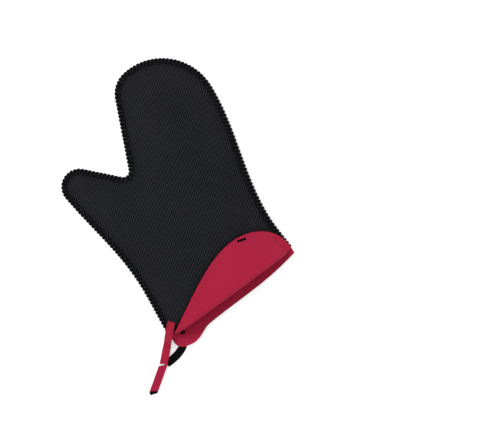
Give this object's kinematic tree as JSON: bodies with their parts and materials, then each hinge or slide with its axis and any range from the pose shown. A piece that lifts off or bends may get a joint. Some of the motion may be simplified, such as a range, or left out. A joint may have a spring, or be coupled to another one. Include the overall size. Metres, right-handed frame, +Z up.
{
  "type": "oven mitt",
  "caption": "Padded oven mitt with a thumb, overlocked edges, a turned-back lined cuff and a hanging loop at the cuff's corner.",
  "frame": {"origin": "on the surface the mitt lies on, below the middle of the cuff's fold", "axes": "+Y from the cuff to the fingertips, +Z up through the front panel, +X towards the little-finger side"},
  "size_m": [0.264, 0.3451, 0.039],
  "materials": {
    "face_cloth": "matte",
    "foam": "matte",
    "lining": "matte",
    "thread": "satin"
  },
  "bodies": {
    "palm": {"front_face_palm": "face_cloth", "front_core_palm": "foam", "front_lining_palm": "lining", "back_face_palm": "face_cloth", "back_core_palm": "foam", "back_lining_palm": "lining", "edge_stitch_thumb_side": "thread", "edge_stitch_web": "thread", "edge_stitch_little_side": "thread", "flap_tack": "thread", "strap_tack": "thread", "front_strap_root": "foam", "front_strap_root_facing": "lining", "rear_strap_root": "foam", "rear_strap_root_facing": "lining"},
    "thumb": {"front_face_thumb": "face_cloth", "front_core_thumb": "foam", "front_lining_thumb": "lining", "back_face_thumb": "face_cloth", "back_core_thumb": "foam", "back_lining_thumb": "lining", "edge_stitch_thumb": "thread"},
    "fingers": {"front_face_fingers": "face_cloth", "front_core_fingers": "foam", "front_lining_fingers": "lining", "back_face_fingers": "face_cloth", "back_core_fingers": "foam", "back_lining_fingers": "lining", "edge_stitch_fingers": "thread"},
    "strap": {"front_strap": "foam", "front_strap_facing": "lining", "rear_strap": "foam", "rear_strap_facing": "lining"}
  },
  "joints": [
    {"name": "thumb_fold", "type": "hinge", "parent": "palm", "child": "thumb", "pos_m": [-0.06206, 0.12669, 0.0266], "axis": [0.4558, 0.8901, 0], "range_deg": [0, 70], "stiffness_Nm_per_rad": 0.02},
    {"name": "finger_fold", "type": "hinge", "parent": "palm", "child": "fingers", "pos_m": [0.0434, 0.19197, 0.0302], "axis": [0.962, -0.2732, 0], "range_deg": [0, 80], "stiffness_Nm_per_rad": 0.05},
    {"name": "strap_swing", "type": "hinge", "parent": "palm", "child": "strap", "pos_m": [-0.1045, -0.022, 0.0055], "axis": [0, 1, 0], "range_deg": [0, 95]}
  ]
}
